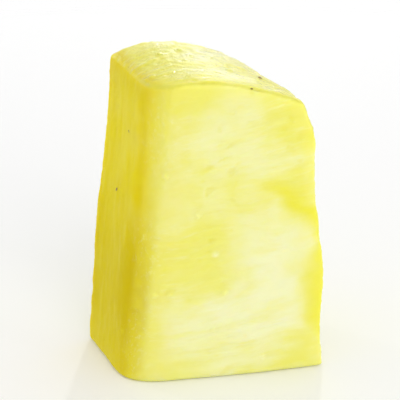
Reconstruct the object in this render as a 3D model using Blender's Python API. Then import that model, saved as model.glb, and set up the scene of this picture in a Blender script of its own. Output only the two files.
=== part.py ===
"""A pineapple chunk: a tall block that a knife cut from a peeled pineapple.

The fruit's axis is vertical. The block has six sides. The front and back cuts run outward from the
core side, which is where the core was cut away. The peel side is the fruit's own rounded outside,
with its fruitlets, and the top and bottom are cross cuts. The chunk stands on the bottom cut.

Metres, +Z up. The front cut faces -Y and the peel side faces +X. The origin is the centre of the
base's bounding box.
"""

import math

import bmesh
import bpy
from mathutils import Vector

MM = 0.001

# The peeled fruit. Its axis stands at x = 0, y = 0 until the chunk is centred.
PEELED_RADIUS = 48.0 * MM  # at the base
PEEL_LEAN = math.radians(3.9)  # the fruit narrows towards the top
SHOULDER_HEIGHT = 7.0 * MM  # the topmost stretch of the peel side, which curves inward
SHOULDER_DEPTH = 1.9 * MM

# Fruitlets stand in columns round the fruit, each column a little above the one before it.
COLUMN_SPACING = 13.4 * MM
COLUMN_STEP = 11.5 * MM
FRUITLET_PITCH = 29.0 * MM
FIRST_COLUMN = -3.5 * MM  # round the peel side from the front cut, which runs past its eyes
FIRST_FRUITLET = 19.5 * MM  # the height of one of its fruitlets
FRUITLET_STRETCH = 1.5  # how much taller than wide a fruitlet is
FRUITLET_RADIUS = 6.6 * MM
FRUITLET_BULGE = 1.7 * MM
EYE_DEPTH = 1.4 * MM
EYE_RADIUS = 2.1 * MM

# The knife cuts. The front cut follows the plane y = 0.
CORE_EDGE = 14.0 * MM  # from the fruit's axis to the front edge of the core side, at the base
CORE_SIDE_WIDTH = 19.0 * MM
CORE_SIDE_LEAN = math.radians(5.8)
CORE_SIDE_TURN = math.radians(14.0)  # from square on the front cut, towards the front
BACK_CUT_ANGLE = math.radians(15.0)  # to the front cut
HEIGHT = 52.0 * MM  # of the top's plane above the foot of the core side's front edge
TOP_FALL_TO_PEEL = math.radians(10.0)
TOP_RISE_TO_BACK = math.radians(4.0)
CORE_CORNER_DROP = 2.7 * MM  # of the top at the core side, where the knife came in
CORE_CORNER_SHARE = 0.42  # of the way to the peel side, over which it drops
PEEL_CORNER_DROP = 1.8 * MM  # of the top at the peel side, where the knife went out
PEEL_CORNER_SHARE = 0.55  # of the way to the core side
EDGE_RADIUS = 0.8 * MM

# The knife wandered a little, so the cuts have gentle waves.
WAVE_HEIGHT = 0.45 * MM
WAVE_ACROSS = 5.6 * MM  # a radian of the wave along the shorter way of a cut
WAVE_ALONG = 7.9 * MM  # and along its longer way
FRONT_PHASE = 0.6
BACK_PHASE = 2.9
CORE_PHASE = 4.4
TOP_PHASE = 1.9

# The edge between the front cut and the core side is softer than the others.
SOFT_EDGE_PULL = 1.6 * MM
SOFT_EDGE_WIDTH = 7.0 * MM

# The plain block that is bent into the chunk, and how many strips each of its sides is divided into
# between its rounded edges.
BLOCK = Vector((34.0, 23.0, 52.0)) * MM
STRIPS = (17, 14, 30)
EDGE_STRIPS = 3

FLESH_COLOUR = (0.90, 0.86, 0.38, 1.0)
FLESH_ROUGHNESS = 0.38


def clear_scene():
    for thing in list(bpy.data.objects):
        bpy.data.objects.remove(thing)


def flesh_material():
    material = bpy.data.materials.new("flesh")
    material.use_nodes = True
    shader = material.node_tree.nodes["Principled BSDF"]
    shader.inputs["Base Color"].default_value = FLESH_COLOUR
    shader.inputs["Roughness"].default_value = FLESH_ROUGHNESS
    shader.inputs["Metallic"].default_value = 0.0
    return material


def smoothstep(share):
    share = min(max(share, 0.0), 1.0)
    return share * share * (3.0 - 2.0 * share)


def dividing_places(length, strips):
    """Where a side of the block is divided: close together on its rounded ends."""
    ends = [EDGE_RADIUS * (step + 1) / EDGE_STRIPS for step in range(EDGE_STRIPS)]
    flat = length - 2.0 * EDGE_RADIUS
    middle = [EDGE_RADIUS + flat * step / strips for step in range(1, strips)]
    return ends + middle + [length - place for place in ends]


def divided_block():
    """The plain block as a bmesh, with its low corner at the origin."""
    block = bmesh.new()
    bmesh.ops.create_cube(block, size=1.0)
    bmesh.ops.translate(block, verts=block.verts, vec=(0.5, 0.5, 0.5))
    bmesh.ops.scale(block, verts=block.verts, vec=BLOCK)
    for axis in range(3):
        normal = Vector((0.0, 0.0, 0.0))
        normal[axis] = 1.0
        for place in dividing_places(BLOCK[axis], STRIPS[axis]):
            everything = block.verts[:] + block.edges[:] + block.faces[:]
            bmesh.ops.bisect_plane(
                block, geom=everything, dist=1e-7, plane_co=normal * place, plane_no=normal
            )
    return block


def rounded(point):
    """Moves a point of the block's skin onto its rounded edges and corners."""
    inner = Vector(
        min(max(point[axis], EDGE_RADIUS), BLOCK[axis] - EDGE_RADIUS) for axis in range(3)
    )
    return inner + (point - inner).normalized() * EDGE_RADIUS


def fruitlets_near(arc, height):
    """Ways across and up from the fruitlet centres that are round a place on the peeled surface."""
    column = round((arc - FIRST_COLUMN) / COLUMN_SPACING)
    for near_column in range(column - 2, column + 3):
        across = arc - FIRST_COLUMN - near_column * COLUMN_SPACING
        level = FIRST_FRUITLET + near_column * COLUMN_STEP
        row = round((height - level) / FRUITLET_PITCH)
        for near_row in (row - 1, row, row + 1):
            yield across, height - level - near_row * FRUITLET_PITCH


def peel_relief(arc, height):
    """How far the peeled surface stands out from its seams: a dome and an eye pit a fruitlet."""
    relief = 0.0
    for across, up in fruitlets_near(arc, height):
        in_fruitlet = math.hypot(across, up / FRUITLET_STRETCH) / FRUITLET_RADIUS
        in_eye = math.hypot(across, up) / EYE_RADIUS
        relief += FRUITLET_BULGE * math.exp(-(in_fruitlet**2)) - EYE_DEPTH * math.exp(-(in_eye**2))
    return relief - FRUITLET_BULGE


def peel_radius(height):
    """The fruit's radius without its relief."""
    shoulder = smoothstep((height - (HEIGHT - SHOULDER_HEIGHT)) / SHOULDER_HEIGHT)
    return PEELED_RADIUS - height * math.tan(PEEL_LEAN) - SHOULDER_DEPTH * shoulder


def leaves_circle(start, slope, radius):
    """The x at which a level line outward from start meets a circle round the fruit's axis."""
    # y = rise + slope * x meets x * x + y * y = radius * radius
    rise = start.y - slope * start.x
    a = 1.0 + slope * slope
    b = slope * rise
    c = rise * rise - radius * radius
    return (-b + math.sqrt(b * b - a * c)) / a


def wave(across, along, phase):
    """How far a cut stands out at a place on it."""
    return 0.5 * WAVE_HEIGHT * (
        math.sin(across / WAVE_ACROSS + phase) + math.sin(along / WAVE_ALONG + 2.0 * phase)
    )


def soft_edge(point):
    """How far a point of the block near the soft edge is drawn inward."""
    near_front = max(0.0, 1.0 - point.y / SOFT_EDGE_WIDTH)
    near_core = max(0.0, 1.0 - point.x / SOFT_EDGE_WIDTH)
    return SOFT_EDGE_PULL * (near_front * near_core) ** 2


def chunk_point(point):
    """Bends a point of the rounded block into the chunk, in the fruit's own frame."""
    share_out = point.x / BLOCK.x
    share_back = point.y / BLOCK.y
    share_up = point.z / BLOCK.z
    height = share_up * HEIGHT

    along_core_side = Vector((-math.sin(CORE_SIDE_TURN), math.cos(CORE_SIDE_TURN)))
    start = Vector((CORE_EDGE + height * math.tan(CORE_SIDE_LEAN), 0.0))
    start += along_core_side * CORE_SIDE_WIDTH * share_back
    slope = share_back * math.tan(BACK_CUT_ANGLE)

    radius = peel_radius(height)
    x_peel = leaves_circle(start, slope, radius)
    y_peel = start.y + slope * (x_peel - start.x)
    arc = PEELED_RADIUS * math.atan2(y_peel, x_peel)
    x_peel = leaves_circle(start, slope, radius + peel_relief(arc, height))

    x = start.x + share_out * (x_peel - start.x)
    y = start.y + slope * (x - start.x)
    top = y * math.tan(TOP_RISE_TO_BACK) - (x - CORE_EDGE) * math.tan(TOP_FALL_TO_PEEL)
    top -= CORE_CORNER_DROP * max(0.0, 1.0 - share_out / CORE_CORNER_SHARE) ** 2
    top -= PEEL_CORNER_DROP * max(0.0, 1.0 - (1.0 - share_out) / PEEL_CORNER_SHARE) ** 2
    top += wave(point.y, point.x, TOP_PHASE)

    inward = soft_edge(point)
    x += inward + (1.0 - share_out) * wave(point.y, point.z, CORE_PHASE)
    y += inward + (1.0 - share_back) * wave(point.x, point.z, FRONT_PHASE)
    y += share_back * wave(point.x, point.z, BACK_PHASE)
    return Vector((x, y, height + share_up * top))


def join_base(block):
    """Makes the level base one face."""
    base = [face for face in block.faces if all(abs(vert.co.z) < 1e-9 for vert in face.verts)]
    bmesh.ops.dissolve_faces(block, faces=base)


def stand_on_origin(block):
    """Moves the chunk so that the middle of its bounding box stands on the origin."""
    for axis in range(2):
        places = [vertex.co[axis] for vertex in block.verts]
        middle = 0.5 * (min(places) + max(places))
        for vertex in block.verts:
            vertex.co[axis] -= middle


def make_chunk(collection):
    block = divided_block()
    for vertex in block.verts:
        vertex.co = chunk_point(rounded(vertex.co))
    join_base(block)
    stand_on_origin(block)
    bmesh.ops.recalc_face_normals(block, faces=block.faces)
    mesh = bpy.data.meshes.new("pineapple_chunk")
    block.to_mesh(mesh)
    block.free()
    mesh.shade_smooth()
    mesh.materials.append(flesh_material())
    chunk = bpy.data.objects.new("pineapple_chunk", mesh)
    collection.objects.link(chunk)


def main():
    clear_scene()
    collection = bpy.data.collections.new("pineapple_chunk")
    bpy.context.scene.collection.children.link(collection)
    make_chunk(collection)


main()
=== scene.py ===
"""Looks for the pineapple chunk: wet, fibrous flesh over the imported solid's own shape.

Lengths are in metres, unless a comment says mm. Anatomy is worked out round the fruit's own axis,
which is vertical and lies outside the chunk, on its core side: r is the way out from the axis, arc
the way round the peeled surface from the front cut, depth the way in from that surface, and level
the height at which a fibre that passes a point would reach it.
"""

import itertools
import math

import bmesh
import bpy
import numpy as np
from mathutils import Matrix, Vector
from mathutils.bvhtree import BVHTree


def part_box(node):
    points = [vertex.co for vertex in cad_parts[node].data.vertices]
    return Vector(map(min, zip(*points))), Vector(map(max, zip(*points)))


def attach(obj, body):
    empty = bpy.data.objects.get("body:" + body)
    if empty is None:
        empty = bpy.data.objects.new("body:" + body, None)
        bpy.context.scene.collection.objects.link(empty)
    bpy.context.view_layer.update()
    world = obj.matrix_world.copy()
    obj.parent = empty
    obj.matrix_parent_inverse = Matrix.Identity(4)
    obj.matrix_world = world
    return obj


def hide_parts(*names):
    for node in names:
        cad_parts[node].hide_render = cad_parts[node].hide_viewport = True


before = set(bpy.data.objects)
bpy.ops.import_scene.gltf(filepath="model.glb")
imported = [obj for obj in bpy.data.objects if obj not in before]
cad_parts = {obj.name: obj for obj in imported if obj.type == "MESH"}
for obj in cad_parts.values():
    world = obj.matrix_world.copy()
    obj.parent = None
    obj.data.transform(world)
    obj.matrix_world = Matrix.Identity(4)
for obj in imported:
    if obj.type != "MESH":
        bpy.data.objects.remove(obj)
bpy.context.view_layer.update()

MM = 0.001
NODE = "pineapple_chunk"
LOW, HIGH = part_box(NODE)

# The fruit, as the solid has it
AXIS = np.array([LOW.x - 9.93 * MM, LOW.y + 0.45 * MM, 0.0])  # measured on the solid
PEELED_RADIUS = 48.0 * MM
PEEL_LEAN = math.radians(3.9)
CORE_EDGE = 14.0 * MM
CORE_SIDE_LEAN = math.radians(5.8)
CORE_SIDE_TURN = math.radians(14.0)
BACK_CUT_ANGLE = math.radians(15.0)
COLUMN_SPACING = 13.4 * MM
COLUMN_STEP = 11.5 * MM
FRUITLET_PITCH = 29.0 * MM
FIRST_COLUMN = -3.5 * MM
FIRST_FRUITLET = 19.5 * MM

# The pale lobe of flesh inside each fruitlet
LOBE_DEPTH = 7.0 * MM  # of its middle
LOBE_ACROSS = 9.0 * MM  # how far it reaches round the fruit,
LOBE_UP = 13.5 * MM  # up and down,
LOBE_OUT = 8.0 * MM  # towards the peel
LOBE_IN = 14.0 * MM  # and towards the core
LOBE_SKIN = 1.05  # where its yellow skin lies, as a part of that reach
LOBE_SKIN_WIDTH = 0.12

# The borders between fruitlets
BORDER_STRETCH = 1.5  # how much taller than wide the outline of a fruitlet is
BORDER_WIDTH = 2.3  # in mm
BORDER_WIDTH_CHANGE = 1.3  # in mm, either way
BORDER_YELLOW = 0.62  # at the peel, as a part of what a lobe's skin has

# The pits at the fruitlets' eyes
EYE_STRETCH = 1.25  # how much wider than tall a pit is
EYE_RIM = 2.3 * MM
EYE_FLOOR = 0.3 * MM
EYE_UNEVENNESS = 0.45  # in mm

# The deep-yellow crescent over the lobe that the front cut opens
CRESCENT_START = 22.8 * MM  # its height at the peeled surface
CRESCENT_RISE = 11.0 * MM  # how much higher it ends
CRESCENT_BEND = 4.6 * MM  # the depth over which it does most of its rising
CRESCENT_WIDTH = 2.1 * MM

# The deep-yellow band at the peel side of that lobe
BAND_HEIGHT = 14.0 * MM  # where it reaches deepest
BAND_REACH = 6.0 * MM  # its depth there
BAND_SPREAD = 10.0 * MM  # up and down
BAND_YELLOW = 0.9  # as a part of the crescent's

# Painted shade on the golden core side, as amber
CORE_SHADE_HEIGHTS = (38.0 * MM, 14.0 * MM)  # down from the first it deepens, to the second
CORE_SHADE_FOOT = (9.0 * MM, 1.0 * MM)  # and here it weakens a little
CORE_SHADE_PATCH_HEIGHT = 17.0 * MM  # of the patch beside the front
CORE_SHADE_PATCH_SPREAD = 9.0 * MM
CORE_SHADE_TOP = (43.0 * MM, 49.0 * MM)  # up from the first there is some more, to the second

# Blotches at the front cut, in mm: the way out from the axis, the height, the radius, and how much
# paler than the rest they are. The last is a painted highlight: a small pale spot for a glint.
FRONT_BLOTCHES_AND_GLINT = (
    (26.0, 49.5, 7.0, -0.48),
    (36.5, 49.0, 5.5, -0.40),
    (30.0, 41.5, 7.5, 0.28),
    (42.0, 37.0, 4.0, 0.30),
    (42.5, 43.5, 6.8, -0.98),
    (22.0, 33.5, 8.0, 0.30),
    (34.0, 33.0, 6.0, 0.24),
    (36.0, 23.0, 8.5, 0.55),
    (35.5, 9.5, 9.0, 0.76),
    (25.0, 9.5, 7.0, 0.54),
    (27.0, 3.0, 6.0, 0.30),
    (15.5, 8.5, 6.0, -0.50),
    (17.5, 20.5, 6.5, -0.46),
    (28.0, 23.5, 5.0, -0.36),
    # Painted highlight: a small pale spot for a glint on the drop at the front
    (28.2, 22.3, 0.7, 0.45),
)

# Fibres run outward from the core and a little upward
FIBRE_RISE = math.tan(math.radians(10.0))
FIBRE_RADIUS = 30.0 * MM  # where a step round the axis is as long as a step in arc
FIBRE_WIDTH = 0.8 * MM
FIBRE_LENGTH = 5.5 * MM

# The relief: how far each thing makes the surface rise or fall, in mm
WAVE_RELIEF = 0.12
STRAND_RELIEF = 0.045
FIBROUS_STRAND_RELIEF = 0.055  # as much more where the flesh is fibrous
BUNDLE_RELIEF = 0.10
GRIT_RELIEF = 0.02
TOP_GRIT_RELIEF = 0.05  # as much more on the top
PEEL_GRIT_RELIEF = 0.06  # as much more on the peel side
PEEL_LUMP_RELIEF = 0.16
VESSEL_RELIEF = 0.035
SEAM_DEPTH = 0.06
BORDER_DEPTH = 0.35
EYE_DEPTH = 0.8
PORE_DEPTH = 0.11
NICK_DEPTH = 0.5

# Drops of juice that lie on the flesh
TOP_DROPS = 16
SIDE_DROPS = 16
DROP_RADII = (0.4 * MM, 0.85 * MM)
DROP_STEEPNESS = 0.4  # height of a drop as a part of its radius
DROP_FOOT = 0.06  # the height in mm from which a drop has its own smooth skin
FRONT_DROPS = ((28.2, 22.3, 0.60),)  # in mm: the way out from the axis, the height and the radius

# Specks of eye on the cuts, in mm
FRONT_SPECKS = ((33.6, 47.3, 0.17),)  # the way out from the axis, the height and the radius
STRAY_SPECKS = 10  # of which those that would lie on the front are left out
SPECK_RADII = (0.15, 0.31)
SPECK_STRETCH = (1.0, 1.8)  # how much longer than wide a speck is
SPECK_FLATNESS = 0.5  # its height as a part of its width
SPECK_SUNK = 0.4  # as a part of half its height
SPECK_ROUGHNESS = 0.35  # as a part of its radius

# What is left of an eye in its pit
BRISTLES = 11
BRISTLE_LENGTH = 1.1 * MM
BRISTLE_RADIUS = 0.13 * MM
BRISTLE_TIP = 0.35  # its radius there as a part of that at the foot
BRISTLE_SUNK = 0.2  # in mm

# The flesh's mesh
VOXEL = 0.29 * MM
WELD_DISTANCE = 0.002 * MM
SMOOTH_ROUNDS = 5
SHRINK = 0.98  # leaves room inside the solid's box for the relief
MOST_OUTWARD = 0.34 * MM
BASE_HELD = 1.0 * MM  # the relief begins above the level base, over this height

# Colours
PALE = (0.865, 0.865, 0.53, 1.0)
YELLOW = (0.825, 0.80, 0.18, 1.0)
DEEP = (0.815, 0.77, 0.035, 1.0)
# Gold of the core side: partly the flesh's own deeper colour near the core, partly painted shade
GOLDEN = (0.75, 0.61, 0.0, 1.0)
# Amber: the colour of the painted shade on the core side, and of the darker vessel streaks
AMBER = (0.60, 0.465, 0.0, 1.0)
# Olive: painted shade along the front's top edge
OLIVE_SHADE = (0.60, 0.58, 0.10, 1.0)
FIBRE_LIGHT = (0.88, 0.88, 0.58, 1.0)
EYE_GOLD = (0.70, 0.48, 0.06, 1.0)
EYE_BROWN = (0.34, 0.19, 0.05, 1.0)
SPECK_DARK = (0.16, 0.10, 0.025, 1.0)
SPECK_LIGHT = (0.36, 0.23, 0.05, 1.0)
BRISTLE_DARK = (0.30, 0.16, 0.04, 1.0)
BRISTLE_LIGHT = (0.55, 0.36, 0.10, 1.0)
FLOOR_COLOUR = (0.98, 0.98, 0.975, 1.0)

# The stage
FLOOR_RADIUS = 0.40
FLOOR_SOLID = 0.08  # out to here the floor is whole, and from here it fades into the background
FLOOR_END = 0.98  # where it is gone, as a part of its radius
HORIZON = 1.0  # brightness of the studio from below up to LOW_EDGE
ZENITH = 0.72  # and from HIGH_EDGE up
LOW_EDGE = 0.12  # as the sine of the elevation
HIGH_EDGE = 0.70

# The main light, and small lights that glint in the juice: azimuth, elevation and watts
KEY = (10.0, 36.0, 1.02)
KEY_DISTANCE = 0.7
KEY_SIZE = 0.45
GLINTS = (
    (162.0, 27.0, 0.40),
    (225.0, 26.0, 0.18),
    (45.0, 20.0, 0.10),
    (18.0, 30.0, 0.05),
)
GLINT_DISTANCE = 0.6
GLINT_SIZE = 0.03

CAMERA_AZIMUTH = -12.0
CAMERA_ELEVATION = 21.0
CAMERA_LENS = 100.0
SENSOR_WIDTH = 36.0
FILL = 0.80  # of the frame's height


def smoothstep(low, high, value):
    share = np.clip((value - low) / (high - low), 0.0, 1.0)
    return share * share * (3.0 - 2.0 * share)


def bell(value, middle, width):
    """1 at the middle, falling off on both sides."""
    return np.exp(-(((value - middle) / width) ** 2))


def noise(points, seed):
    """Smooth noise from -1 to 1 at each point, with features about one unit wide."""
    size = 64
    table = np.random.default_rng(seed).uniform(-1.0, 1.0, (size, size, size))
    cell = np.floor(points).astype(int)
    part = points - cell
    part = part * part * (3.0 - 2.0 * part)
    total = np.zeros(len(points))
    for corner in itertools.product((0, 1), repeat=3):
        weight = np.prod(np.where(corner, part, 1.0 - part), axis=1)
        x, y, z = ((cell + corner) % size).T
        total += weight * table[x, y, z]
    return total


def two_noises(points, seed):
    """Noise with a finer and fainter one on top."""
    return noise(points, seed) + noise(points * 2.03 + 7.7, seed + 1) / 2.0


def streaks(grain, length, width, seed, kind=noise):
    """Noise whose features are long along the fibres and narrow across them."""
    return kind(grain / np.array([length, width, width]), seed)


def front_place(r, height):
    """A place on the front cut's plane, from mm out from the axis and mm up."""
    return AXIS + np.array([r, 0.0, height]) * MM


class Anatomy:
    """Where points of the chunk lie in the fruit."""

    def __init__(self, points):
        self.points = points
        x, y, z = (points - AXIS).T
        self.r = np.hypot(x, y)
        self.angle = np.arctan2(y, x)
        self.arc = self.angle * PEELED_RADIUS
        self.z = z
        self.depth = PEELED_RADIUS - z * math.tan(PEEL_LEAN) - self.r
        core_edge = CORE_EDGE + z * math.tan(CORE_SIDE_LEAN)
        turn = CORE_SIDE_TURN
        self.from_core = (x - core_edge) * math.cos(turn) + y * math.sin(turn)
        self.near_front = smoothstep(9.0 * MM, 4.0 * MM, y)

        drift = noise(points / (13.0 * MM), seed=11) * 1.6 * MM
        drift += noise(points / (5.0 * MM), seed=12) * 0.5 * MM
        self.level = z + self.depth * FIBRE_RISE + drift
        around = self.angle * FIBRE_RADIUS + drift
        self.grain = np.stack([self.r, around, self.level], axis=1)
        self.sway_across = two_noises(points / (6.5 * MM), seed=13) * 1.1 * MM
        self.sway_up = two_noises(points / (6.5 * MM), seed=16) * 1.5 * MM

    def fruitlets(self):
        """The ways across and up from the middle of each fruitlet round the chunk."""
        for column in range(-2, 5):
            across = self.arc - FIRST_COLUMN - column * COLUMN_SPACING + self.sway_across
            for row in range(-3, 4):
                level = FIRST_FRUITLET + column * COLUMN_STEP + row * FRUITLET_PITCH
                yield across, self.level - level + self.sway_up

    def lobes(self):
        """How far points are from the middle of the nearest lobe, 1 on its skin."""
        out = np.where(
            self.depth < LOBE_DEPTH,
            (LOBE_DEPTH - self.depth) / LOBE_OUT,
            (self.depth - LOBE_DEPTH) / LOBE_IN,
        )
        feather = streaks(self.grain, 10.0 * MM, 1.6 * MM, seed=25)
        wobble = 0.10 * noise(self.points / (8.0 * MM), seed=21) + 0.10 * feather
        distances = [
            np.sqrt((across / LOBE_ACROSS) ** 2 + (up / LOBE_UP) ** 2 + out**2)
            for across, up in self.fruitlets()
        ]
        return np.min(distances, axis=0) + wobble

    def borders(self):
        """How near points are to the borders between fruitlets, from 0 to 1."""
        distances = [np.hypot(across, up / BORDER_STRETCH) for across, up in self.fruitlets()]
        nearest, second = np.sort(distances, axis=0)[:2]
        gap = second - nearest + noise(self.points / (2.5 * MM), seed=29) * 0.5 * MM
        change = noise(self.points / (5.5 * MM), seed=30)
        return bell(gap, 0.0, (BORDER_WIDTH + BORDER_WIDTH_CHANGE * change) * MM)

    def eyes(self):
        """How near points are to the pits at the fruitlets' eyes, from 0 to 1."""
        wobble = noise(self.points / (0.9 * MM), seed=23) * EYE_UNEVENNESS * MM
        wobble += noise(self.points / (2.4 * MM), seed=24) * EYE_UNEVENNESS * MM
        near = np.zeros(len(self.points))
        for column in range(-1, 4):
            across = self.arc - FIRST_COLUMN - column * COLUMN_SPACING
            for row in range(-3, 3):
                level = FIRST_FRUITLET + column * COLUMN_STEP + row * FRUITLET_PITCH
                distance = np.hypot(across / EYE_STRETCH, self.z - level) + wobble
                near = np.maximum(near, smoothstep(EYE_RIM, EYE_FLOOR, distance))
        return near * smoothstep(5.0 * MM, 3.0 * MM, self.depth)

    def crescent(self):
        """How near points are to the crescent or the band under it, from 0 to 1."""
        bend = np.exp(-np.maximum(self.depth, 0.0) / CRESCENT_BEND)
        height = CRESCENT_START + CRESCENT_RISE * (1.0 - bend)
        slope = CRESCENT_RISE / CRESCENT_BEND * bend
        feather = streaks(self.grain, 9.0 * MM, 1.8 * MM, seed=26) * 0.9 * MM
        away = (self.z - height) / np.sqrt(1.0 + slope**2) + feather
        width = CRESCENT_WIDTH * (1.0 - 0.5 * smoothstep(4.0 * MM, 11.0 * MM, self.depth))
        fade = 1.0 - 0.85 * smoothstep(6.0 * MM, 14.0 * MM, self.depth)
        reach = BAND_REACH * bell(self.z, BAND_HEIGHT, BAND_SPREAD)
        band = smoothstep(1.2, 0.3, (self.depth + feather) / reach)
        return np.maximum(bell(away, 0.0, width) * fade, BAND_YELLOW * band)

    def painted_shade(self):
        """Painted shade, as gold turning to amber: low down, most beside the front, a little on
        top.
        """
        low = smoothstep(*CORE_SHADE_HEIGHTS, self.z)
        low *= 1.0 - 0.4 * smoothstep(*CORE_SHADE_FOOT, self.z)
        patch = bell(self.z, CORE_SHADE_PATCH_HEIGHT, CORE_SHADE_PATCH_SPREAD) * self.near_front
        top = smoothstep(*CORE_SHADE_TOP, self.z)
        return np.minimum(0.75 * low + 0.35 * patch + 0.35 * top, 1.0)

    def blotches_and_glint(self):
        """How much paler the blotches at the front cut make the flesh, one being a painted
        highlight.
        """
        total = np.zeros(len(self.points))
        wobble = 0.20 * two_noises(self.points / (4.5 * MM), seed=27)
        wobble += 0.16 * streaks(self.grain, 10.0 * MM, 1.8 * MM, seed=28)
        for r, height, radius, pale in FRONT_BLOTCHES_AND_GLINT:
            distance = np.linalg.norm(self.points - front_place(r, height), axis=1)
            total += pale * smoothstep(1.25, 0.05, distance / (radius * MM) + wobble)
        return total

    def sides(self, normals):
        """How much each point belongs to the peel side, the core side, the top and the edges."""
        outward = np.stack([np.cos(self.angle), np.sin(self.angle), np.zeros(len(self.r))], axis=1)
        to_peel = (normals * outward).sum(axis=1)
        turn = CORE_SIDE_TURN
        to_core = normals @ np.array([-math.cos(turn), -math.sin(turn), 0.0])
        to_front = -normals[:, 1]
        to_back = normals @ np.array([-math.sin(BACK_CUT_ANGLE), math.cos(BACK_CUT_ANGLE), 0.0])
        square = np.stack([to_peel, to_core, to_front, to_back, np.abs(normals[:, 2])])
        edge = smoothstep(0.06, 0.22, 1.0 - square.max(axis=0))
        peel_side = smoothstep(0.75, 0.93, to_peel) * smoothstep(4.0 * MM, 2.5 * MM, self.depth)
        core_side = smoothstep(0.75, 0.95, to_core)
        top = smoothstep(0.80, 0.96, normals[:, 2])
        return peel_side, core_side, top, edge


class Surface:
    """What the flesh is like at each point of its surface."""

    def __init__(self, places, normals):
        self.places = places
        self.upward = normals[:, 2]
        self.anatomy = Anatomy(places)
        self.grain = self.anatomy.grain
        self.lobe = self.anatomy.lobes()
        self.borders = self.anatomy.borders()
        self.eyes = self.anatomy.eyes()
        self.peel_side, self.core_side, self.top, self.edge = self.anatomy.sides(normals)
        self.seam = self.seams()
        self.pores = self.find_pores()
        self.fibrous = smoothstep(-0.5, 0.6, noise(places / (8.0 * MM), seed=71))
        self.vessels = two_noises(places / np.array([0.9 * MM, 0.9 * MM, 5.0 * MM]), seed=45)
        self.drop = drops(places, self.top, self.core_side)
        self.under_drop = smoothstep(0.0, DROP_FOOT, self.drop)

    def seams(self):
        """How far points belong to the deep-yellow seams, from 0 to 1."""
        anatomy = self.anatomy
        skin = bell(self.lobe, LOBE_SKIN, LOBE_SKIN_WIDTH)
        skin *= smoothstep(19.0 * MM, 7.0 * MM, anatomy.depth)
        skin *= smoothstep(1.0 * MM, 4.5 * MM, anatomy.depth)
        shallow = smoothstep(6.0 * MM, 2.0 * MM, anatomy.depth)
        seam = np.maximum(skin, BORDER_YELLOW * self.borders * shallow)
        crescent = anatomy.crescent() * (1.0 - 0.75 * self.peel_side)
        seam += (np.maximum(crescent, 0.35 * seam) - seam) * anatomy.near_front
        return seam

    def paleness(self):
        """How pale the flesh is. Near the front the blotches decide more than the lobes."""
        inner = smoothstep(6.0 * MM, 16.0 * MM, self.anatomy.depth)
        pale = 1.0 - smoothstep(0.50 - 0.2 * inner, 1.02 + 0.35 * inner, self.lobe)
        pale *= 1.0 - 0.20 * self.peel_side
        pale += (0.20 - 0.85 * pale) * self.anatomy.near_front
        # Less pale on the top: partly the cross cut's own colour, partly painted shade against the
        # brighter light there
        return (pale + self.anatomy.blotches_and_glint()) * (1.0 - 0.3 * self.top)

    def find_pores(self):
        """How far points lie in the small pores, which come in groups."""
        warp = [noise(self.places / (1.7 * MM), seed) for seed in (84, 85, 86)]
        warp = np.stack(warp, axis=1) * 0.6 * MM
        pores = streaks(self.grain + warp, 1.6 * MM, 0.8 * MM, seed=81)
        grouped = smoothstep(0.1, 0.5, noise(self.places / (7.0 * MM), seed=83))
        return smoothstep(0.42, 0.70, pores) * grouped

    def relief(self):
        """How far the surface rises at each point, in mm."""
        places = self.places
        waves = two_noises(places / (12.0 * MM), seed=51)
        strands = streaks(self.grain, FIBRE_LENGTH, FIBRE_WIDTH, 31, two_noises)
        bundles = streaks(self.grain, 9.0 * MM, 2.4 * MM, seed=41)
        grit = two_noises(places / (0.8 * MM), seed=61)
        lumps = noise(places / (2.6 * MM), seed=65)
        nicks = np.maximum(noise(places / (2.0 * MM), seed=91) + 0.1, 0.0)
        nicks *= smoothstep(-0.1, 0.5, noise(places / (7.0 * MM), seed=93))

        strand_relief = STRAND_RELIEF + FIBROUS_STRAND_RELIEF * self.fibrous
        strand_relief *= 1.0 - 0.7 * self.core_side
        strand_relief *= 1.0 - 0.5 * self.peel_side
        grit_relief = GRIT_RELIEF + TOP_GRIT_RELIEF * self.top + PEEL_GRIT_RELIEF * self.peel_side

        relief = WAVE_RELIEF * waves + strand_relief * strands + BUNDLE_RELIEF * bundles
        relief += grit_relief * grit + PEEL_LUMP_RELIEF * self.peel_side * lumps
        relief += VESSEL_RELIEF * self.core_side * self.vessels
        relief -= (
            SEAM_DEPTH * self.seam
            + BORDER_DEPTH * self.peel_side * self.borders
            + EYE_DEPTH * self.eyes
            + PORE_DEPTH * self.pores
            + NICK_DEPTH * self.edge * nicks
        )
        relief += (WAVE_RELIEF * waves - relief) * self.under_drop + self.drop
        return relief

    def for_material(self):
        """The values that the material reads, by the names it knows them by."""
        anatomy = self.anatomy
        core = smoothstep(3.4 * MM, 0.2 * MM, anatomy.from_core)
        # Painted shade: a little gold along the front's left column, where its soft edge turns
        # away
        painted_flank_shade = 0.16 * smoothstep(9.0 * MM, 2.0 * MM, anatomy.from_core)
        front_edge = self.edge * anatomy.near_front
        return {
            "grain": self.grain,
            "pale": self.paleness(),
            "seam": self.seam,
            "core": np.maximum(core, painted_flank_shade),
            # Painted shade: amber low on the core side and beside the front
            "painted_shade": core * anatomy.painted_shade(),
            "eye": self.eyes,
            "fibrous": self.fibrous * (1.0 - 0.85 * self.core_side),
            "vessels": self.vessels * self.core_side,
            "core_side": self.core_side,
            "top": self.top,
            "pores": self.pores,
            # The edges' mask also gives the colour its painted translucency along the edges
            "edge": self.edge,
            # Painted shade: a darker olive line along the front's top edge
            "painted_top_edge_shade": front_edge * smoothstep(0.10, 0.35, self.upward),
            "drop": self.under_drop,
        }


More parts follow.
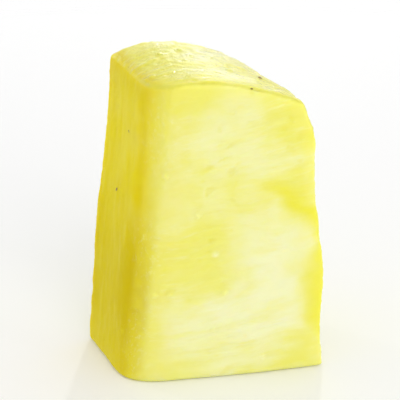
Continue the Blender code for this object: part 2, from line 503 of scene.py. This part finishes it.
def drops(places, top, core_side):
    """How high the drops of juice stand over each place, in mm."""
    draws = np.random.default_rng(17)
    on_top = np.flatnonzero(top > 0.9)
    on_sides = np.flatnonzero((top < 0.1) & (core_side < 0.1) & (places[:, 2] > 3.0 * MM))
    middles = np.append(draws.choice(on_top, TOP_DROPS), draws.choice(on_sides, SIDE_DROPS))
    round_drops = [(middle, draws.uniform(*DROP_RADII)) for middle in middles]
    for r, level, radius in FRONT_DROPS:
        middle = np.argmin(np.linalg.norm(places - front_place(r, level), axis=1))
        round_drops.append((middle, radius * MM))
    height = np.zeros(len(places))
    for middle, radius in round_drops:
        away = np.linalg.norm(places - places[middle], axis=1) / radius
        drop = np.maximum(1.0 - away**2, 0.0) * radius / MM * DROP_STEEPNESS
        height = np.maximum(height, drop)
    return height


def fine_copy(node, name):
    """A new object with the node's shape in small even faces."""
    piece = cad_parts[node].copy()
    piece.data = piece.data.copy()
    piece.name = name
    bpy.context.scene.collection.objects.link(piece)
    weld = piece.modifiers.new("weld", "WELD")
    weld.merge_threshold = WELD_DISTANCE
    rounding = piece.modifiers.new("rounding", "SUBSURF")
    rounding.levels = 1
    rounding.render_levels = 1
    even = piece.modifiers.new("even", "REMESH")
    even.mode = "VOXEL"
    even.voxel_size = VOXEL
    soften = piece.modifiers.new("soften", "SMOOTH")
    soften.factor = 0.5
    soften.iterations = SMOOTH_ROUNDS
    graph = bpy.context.evaluated_depsgraph_get()
    mesh = bpy.data.meshes.new_from_object(piece.evaluated_get(graph))
    piece.modifiers.clear()
    piece.data = mesh
    mesh.name = name
    return piece


def vectors(layer, name):
    """A vector from each item of a mesh's layer, as rows."""
    values = np.empty(len(layer) * 3, dtype=np.float32)
    layer.foreach_get(name, values)
    return values.reshape(-1, 3).astype(float)


def store(mesh, name, values):
    """Keeps a value or a place for each point, for the material to read."""
    kind, key = ("FLOAT", "value") if values.ndim == 1 else ("FLOAT_VECTOR", "vector")
    layer = mesh.attributes.new(name, kind, "POINT")
    layer.data.foreach_set(key, values.astype(np.float32).ravel())


def make_flesh():
    flesh = fine_copy(NODE, "flesh")
    mesh = flesh.data
    places = vectors(mesh.vertices, "co")
    normals = vectors(mesh.vertex_normals, "vector")
    surface = Surface(places, normals)

    held = smoothstep(0.0, BASE_HELD, places[:, 2])
    rise = np.minimum(surface.relief() * MM, MOST_OUTWARD) * held
    places = places * SHRINK + normals * rise[:, None]
    mesh.vertices.foreach_set("co", places.astype(np.float32).ravel())
    mesh.update()
    mesh.shade_smooth()
    for name, values in surface.for_material().items():
        store(mesh, name, values)

    mesh.materials.clear()
    mesh.materials.append(flesh_material())
    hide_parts(NODE)
    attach(flesh, "root")
    return flesh


class Nodes:
    """Short ways to add and join a material's nodes."""

    def __init__(self, name):
        self.material = bpy.data.materials.new(name)
        self.material.use_nodes = True
        self.tree = self.material.node_tree
        self.shader = self.tree.nodes["Principled BSDF"]

    def add(self, kind, **settings):
        node = self.tree.nodes.new(kind)
        for key, value in settings.items():
            setattr(node, key, value)
        return node

    def join(self, source, target):
        self.tree.links.new(source, target)

    def fill(self, socket, value):
        """Sets a socket to a number or a colour, or joins another node's output to it."""
        if isinstance(value, (int, float, tuple)):
            socket.default_value = value
        else:
            self.join(value, socket)

    def place(self):
        return self.add("ShaderNodeTexCoord").outputs["Object"]

    def attribute(self, name, output="Fac"):
        return self.add("ShaderNodeAttribute", attribute_name=name).outputs[output]

    def scaled(self, vector, factors):
        node = self.add("ShaderNodeVectorMath", operation="MULTIPLY")
        self.join(vector, node.inputs[0])
        node.inputs[1].default_value = factors
        return node.outputs["Vector"]

    def noise(self, vector, scale, detail=3.0, roughness=0.55):
        node = self.add("ShaderNodeTexNoise")
        self.join(vector, node.inputs["Vector"])
        node.inputs["Scale"].default_value = scale
        node.inputs["Detail"].default_value = detail
        node.inputs["Roughness"].default_value = roughness
        return node.outputs["Fac"]

    def range(self, value, low, high, to_low=0.0, to_high=1.0):
        node = self.add("ShaderNodeMapRange", interpolation_type="SMOOTHSTEP")
        self.join(value, node.inputs["Value"])
        node.inputs["From Min"].default_value = low
        node.inputs["From Max"].default_value = high
        node.inputs["To Min"].default_value = to_low
        node.inputs["To Max"].default_value = to_high
        return node.outputs["Result"]

    def math(self, operation, a, b):
        node = self.add("ShaderNodeMath", operation=operation)
        for socket, value in zip(node.inputs, (a, b)):
            self.fill(socket, value)
        return node.outputs[0]

    def times(self, a, b):
        return self.math("MULTIPLY", a, b)

    def mix(self, share, a, b):
        node = self.add("ShaderNodeMix", data_type="RGBA")
        for number, value in zip((0, 6, 7), (share, a, b)):
            self.fill(node.inputs[number], value)
        return node.outputs[2]

    def bump(self, height, strength, distance, under=None):
        node = self.add("ShaderNodeBump")
        self.join(height, node.inputs["Height"])
        node.inputs["Strength"].default_value = strength
        node.inputs["Distance"].default_value = distance
        if under is not None:
            self.join(under, node.inputs["Normal"])
        return node.outputs["Normal"]


def flesh_colour(nodes, clouds, fibres, bundles):
    """The flesh's colour: yellow with one tint over another, each with the share it takes.
    The tints of painted shade, painted translucency and painted highlight are marked where they
    stand.
    """

    def share_of(name, share):
        return nodes.times(nodes.attribute(name), share)

    patchy = nodes.range(clouds, 0.32, 0.70, -0.12, 0.22)
    pale = nodes.math("ADD", nodes.attribute("pale"), patchy)
    vessels = nodes.attribute("vessels")
    eye = nodes.attribute("eye")
    tints = (
        (nodes.range(pale, -0.1, 1.05), PALE),
        (nodes.range(bundles, 0.45, 0.72, 0.0, 0.42), YELLOW),
        # Deeper on the top: partly the cross cut's own colour, partly painted shade against the
        # brighter light there
        (share_of("top", 0.36), DEEP),
        # Gold on the core side: partly the flesh's own colour near the core, partly painted shade
        (share_of("core", nodes.range(clouds, 0.3, 0.7, 1.0, 0.85)), GOLDEN),
        # Painted shade: amber low on the core side, most beside the front
        (share_of("painted_shade", 0.95), AMBER),
        (nodes.range(vessels, 0.0, 0.9, 0.0, 0.10), YELLOW),
        (nodes.range(vessels, 0.0, -0.9, 0.0, 0.14), AMBER),
        (share_of("fibrous", nodes.range(fibres, 0.50, 0.72, 0.0, 0.30)), FIBRE_LIGHT),
        (share_of("fibrous", nodes.range(fibres, 0.47, 0.30, 0.0, 0.20)), DEEP),
        (share_of("seam", 0.85), DEEP),
        (share_of("pores", 0.22), DEEP),
        # Painted translucency: deeper yellow along the edges, for light coming through the thin
        # flesh
        (share_of("edge", 0.30), DEEP),
        # Painted shade: an olive line along the front's top edge
        (share_of("painted_top_edge_shade", 0.45), OLIVE_SHADE),
        (nodes.range(eye, 0.25, 0.95, 0.0, 0.7), EYE_GOLD),
        (nodes.range(eye, 0.80, 1.0, 0.0, 0.8), EYE_BROWN),
    )
    colour = YELLOW
    for share, tint in tints:
        colour = nodes.mix(share, colour, tint)
    return colour


def flesh_material():
    nodes = Nodes("pineapple_flesh")
    shader = nodes.shader
    place = nodes.place()
    grain = nodes.attribute("grain", "Vector")
    per_fibre = nodes.scaled(grain, (1.0 / (5.0 * MM), 1.0 / (0.7 * MM), 1.0 / (0.7 * MM)))
    per_bundle = nodes.scaled(grain, (1.0 / (9.0 * MM), 1.0 / (2.6 * MM), 1.0 / (2.6 * MM)))
    fibres = nodes.noise(per_fibre, 1.0, 4.0, 0.6)
    bundles = nodes.noise(per_bundle, 1.0)
    clouds = nodes.noise(place, 1.0 / (7.0 * MM))
    core_side = nodes.attribute("core_side")
    top = nodes.attribute("top")
    drop = nodes.attribute("drop")

    nodes.join(flesh_colour(nodes, clouds, fibres, bundles), shader.inputs["Base Color"])
    shader.inputs["Subsurface Weight"].default_value = 1.0
    shader.inputs["Subsurface Radius"].default_value = (1.0, 0.88, 0.45)
    shader.inputs["Subsurface Scale"].default_value = 2.0 * MM

    # The core side is dull, the rest is moist, and drops are wettest
    shader.inputs["IOR"].default_value = 1.20
    moist = nodes.range(clouds, 0.3, 0.7, 0.36, 0.52)
    dull = nodes.times(core_side, 0.75)
    nodes.join(nodes.math("MAXIMUM", moist, dull), shader.inputs["Roughness"])
    wet = nodes.range(bundles, 0.35, 0.65, 0.25, 0.9)
    film = nodes.times(wet, nodes.range(core_side, 0.0, 1.0, 1.0, 0.08))
    nodes.join(nodes.math("MAXIMUM", film, drop), shader.inputs["Coat Weight"])
    shader.inputs["Coat Roughness"].default_value = 0.08
    shader.inputs["Coat IOR"].default_value = 1.34

    # Fibres and grit everywhere, and beads in the wet film, most on the top and none on drops
    bare = nodes.range(drop, 0.0, 1.0, 1.0, 0.0)
    grit = nodes.noise(place, 1.0 / (0.4 * MM), 3.0, 0.6)
    grit = nodes.times(grit, nodes.range(top, 0.0, 1.0, 0.8, 2.0))
    beads = nodes.noise(place, 1.0 / (0.8 * MM), 1.0)
    beads = nodes.times(beads, nodes.range(top, 0.0, 1.0, 0.3, 2.0))
    normal = nodes.bump(nodes.times(fibres, bare), 0.5, 0.12 * MM)
    normal = nodes.bump(nodes.times(grit, bare), 0.5, 0.07 * MM, normal)
    wet_normal = nodes.bump(nodes.times(beads, bare), 0.8, 0.20 * MM, normal)
    nodes.join(normal, shader.inputs["Normal"])
    nodes.join(wet_normal, shader.inputs["Coat Normal"])
    return nodes.material


def woody_material(name, dark, light):
    nodes = Nodes(name)
    shader = nodes.shader
    grain = nodes.noise(nodes.place(), 1.0 / (0.25 * MM))
    nodes.join(nodes.mix(nodes.range(grain, 0.35, 0.65), dark, light), shader.inputs["Base Color"])
    shader.inputs["Roughness"].default_value = 0.45
    nodes.join(nodes.bump(grain, 0.5, 0.05 * MM), shader.inputs["Normal"])
    return nodes.material


def floor_material():
    """White in the middle, and fading out towards the rim."""
    nodes = Nodes("floor")
    distance = nodes.add("ShaderNodeVectorMath", operation="LENGTH")
    nodes.join(nodes.place(), distance.inputs[0])
    fade = nodes.range(
        distance.outputs["Value"], FLOOR_SOLID, FLOOR_RADIUS * FLOOR_END, 1.0, 0.0
    )
    shader = nodes.shader
    shader.inputs["Base Color"].default_value = FLOOR_COLOUR
    shader.inputs["Roughness"].default_value = 0.7
    nodes.join(fade, shader.inputs["Alpha"])
    return nodes.material


class Skin:
    """Finds places on the flesh's surface."""

    def __init__(self, piece):
        self.tree = BVHTree.FromObject(piece, bpy.context.evaluated_depsgraph_get())

    def seen(self, start, way):
        """Where a look from start along a way meets the flesh, and the surface's normal there."""
        place, normal, _, _ = self.tree.ray_cast(Vector(start), Vector(way))
        return place, normal

    def on_front(self, r, height):
        return self.seen((AXIS[0] + r * MM, LOW.y - 0.01, height * MM), (0.0, 1.0, 0.0))

    def at_random(self, draws):
        """A place that shows on the top or on a side."""
        shares = draws.uniform(0.12, 0.88, 3)
        target = LOW + Vector(share * size for share, size in zip(shares, HIGH - LOW))
        azimuth = draws.uniform(0.0, 2.0 * math.pi)
        way = Vector((math.cos(azimuth), math.sin(azimuth), draws.uniform(0.0, 0.8))).normalized()
        return self.seen(target + way * 0.1, -way)

    def at_eyes(self):
        """The bottoms of the pits on the peel side."""
        for column in range(0, 3):
            angle = (FIRST_COLUMN + column * COLUMN_SPACING) / PEELED_RADIUS
            way = Vector((math.cos(angle), math.sin(angle), 0.0))
            for row in range(-2, 2):
                level = FIRST_FRUITLET + column * COLUMN_STEP + row * FRUITLET_PITCH
                if 1.5 * MM < level < HIGH.z - 2.0 * MM:
                    start = Vector((AXIS[0], AXIS[1], level)) + way * 0.06
                    place, normal = self.seen(start, -way)
                    if place is not None and normal.dot(way) > 0.5:
                        yield place, way


def standing_along(way):
    """A turn that stands a thing up along a way."""
    return way.to_track_quat("Z", "Y").to_matrix().to_4x4()


def add_ball(form, place, normal, size, draws):
    """Adds an uneven ball, flattened along the normal, to a bmesh."""
    spin = Matrix.Rotation(draws.uniform(0.0, 2.0 * math.pi), 4, "Z")
    ball = bmesh.ops.create_icosphere(form, subdivisions=3, radius=1.0)["verts"]
    corners = np.array([vertex.co[:] for vertex in ball])
    bumps = noise(corners * 1.7 + draws.uniform(0.0, 50.0), seed=101)
    for vertex, bump in zip(ball, bumps):
        vertex.co *= 1.0 + SPECK_ROUGHNESS * bump
    bmesh.ops.scale(form, verts=ball, vec=size)
    turn = Matrix.Translation(place) @ standing_along(normal) @ spin
    bmesh.ops.transform(form, verts=ball, matrix=turn)


def add_bristle(form, place, way, length, radius):
    """Adds a thin tapered bristle to a bmesh."""
    bristle = bmesh.ops.create_cone(
        form,
        cap_ends=True,
        segments=6,
        radius1=radius,
        radius2=radius * BRISTLE_TIP,
        depth=length,
    )["verts"]
    turn = Matrix.Translation(place + way * length * 0.5) @ standing_along(way)
    bmesh.ops.transform(form, verts=bristle, matrix=turn)


def add_piece(form, name, material):
    mesh = bpy.data.meshes.new(name)
    form.to_mesh(mesh)
    form.free()
    mesh.shade_smooth()
    mesh.materials.append(material)
    piece = bpy.data.objects.new(name, mesh)
    bpy.context.scene.collection.objects.link(piece)
    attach(piece, "root")


def make_specks(skin):
    draws = np.random.default_rng(5)
    form = bmesh.new()
    spots = [(skin.on_front(r, height), radius) for r, height, radius in FRONT_SPECKS]
    for _ in range(STRAY_SPECKS):
        place, normal = skin.at_random(draws)
        radius = draws.uniform(*SPECK_RADII)
        if place is not None and normal.y > -0.5:
            spots.append(((place, normal), radius))
    for (place, normal), radius in spots:
        stretch = draws.uniform(*SPECK_STRETCH)
        size = Vector((radius * stretch, radius, radius * SPECK_FLATNESS)) * MM
        add_ball(form, place - normal * size.z * SPECK_SUNK, normal, size, draws)
    add_piece(form, "eye_specks", woody_material("eye_speck", SPECK_DARK, SPECK_LIGHT))


def make_remnants(skin):
    draws = np.random.default_rng(6)
    form = bmesh.new()
    up = Vector((0.0, 0.0, 1.0))
    for place, way in skin.at_eyes():
        side = way.cross(up).normalized()
        for _ in range(BRISTLES):
            angle = draws.uniform(0.0, 2.0 * math.pi)
            out = side * math.cos(angle) + up * math.sin(angle)
            lean = (way + out * draws.uniform(0.1, 0.8)).normalized()
            foot = place + out * draws.uniform(0.1, 0.7) * MM - way * BRISTLE_SUNK * MM
            length = BRISTLE_LENGTH * draws.uniform(0.5, 1.0)
            add_bristle(form, foot, lean, length, BRISTLE_RADIUS * draws.uniform(0.6, 1.3))
    add_piece(form, "eye_remnants", woody_material("eye_remnant", BRISTLE_DARK, BRISTLE_LIGHT))


def make_floor():
    mesh = bpy.data.meshes.new("floor")
    disc = bmesh.new()
    bmesh.ops.create_circle(disc, cap_ends=True, segments=96, radius=FLOOR_RADIUS)
    disc.to_mesh(mesh)
    disc.free()
    floor = bpy.data.objects.new("floor", mesh)
    bpy.context.scene.collection.objects.link(floor)
    mesh.materials.append(floor_material())


def aim(thing, middle, azimuth, elevation, distance):
    """Puts a camera or a light round the chunk. Azimuth 0 is the front, 90 the peel side."""
    a = math.radians(azimuth)
    e = math.radians(elevation)
    way = Vector((math.sin(a) * math.cos(e), -math.cos(a) * math.cos(e), math.sin(e)))
    thing.location = middle + way * distance
    thing.rotation_mode = "QUATERNION"
    thing.rotation_quaternion = way.to_track_quat("Z", "Y")


def add_light(name, middle, where, distance, size):
    azimuth, elevation, watts = where
    data = bpy.data.lights.new(name, "AREA")
    data.shape = "DISK"
    data.size = size
    data.energy = watts
    light = bpy.data.objects.new(name, data)
    light.visible_camera = False
    bpy.context.scene.collection.objects.link(light)
    aim(light, middle, azimuth, elevation, distance)


def make_world():
    """A studio that is white all round and dimmer overhead."""
    world = bpy.data.worlds.new("studio")
    world.use_nodes = True
    tree = world.node_tree
    background = tree.nodes["Background"]
    way = tree.nodes.new("ShaderNodeTexCoord")
    parts = tree.nodes.new("ShaderNodeSeparateXYZ")
    fade = tree.nodes.new("ShaderNodeMapRange")
    fade.interpolation_type = "SMOOTHSTEP"
    fade.inputs["From Min"].default_value = LOW_EDGE
    fade.inputs["From Max"].default_value = HIGH_EDGE
    fade.inputs["To Min"].default_value = HORIZON
    fade.inputs["To Max"].default_value = ZENITH
    tree.links.new(way.outputs["Generated"], parts.inputs["Vector"])
    tree.links.new(parts.outputs["Z"], fade.inputs["Value"])
    tree.links.new(fade.outputs["Result"], background.inputs["Strength"])
    background.inputs["Color"].default_value = (1.0, 1.0, 1.0, 1.0)
    bpy.context.scene.world = world


def light_scene(middle):
    make_world()
    add_light("key", middle, KEY, KEY_DISTANCE, KEY_SIZE)
    for number, glint in enumerate(GLINTS):
        add_light(f"glint_{number}", middle, glint, GLINT_DISTANCE, GLINT_SIZE)
    settings = bpy.context.scene.view_settings
    settings.view_transform = "Standard"
    settings.look = "None"
    settings.exposure = 0.0


def add_camera(middle, height):
    data = bpy.data.cameras.new("camera")
    data.lens = CAMERA_LENS
    data.sensor_width = SENSOR_WIDTH
    data.clip_start = 0.01
    camera = bpy.data.objects.new("camera", data)
    bpy.context.scene.collection.objects.link(camera)
    distance = height / FILL * CAMERA_LENS / SENSOR_WIDTH
    aim(camera, middle, CAMERA_AZIMUTH, CAMERA_ELEVATION, distance)
    bpy.context.scene.camera = camera


middle = (LOW + HIGH) / 2.0
add_camera(middle, HIGH.z - LOW.z)
light_scene(middle)
make_floor()
skin = Skin(make_flesh())
make_specks(skin)
make_remnants(skin)
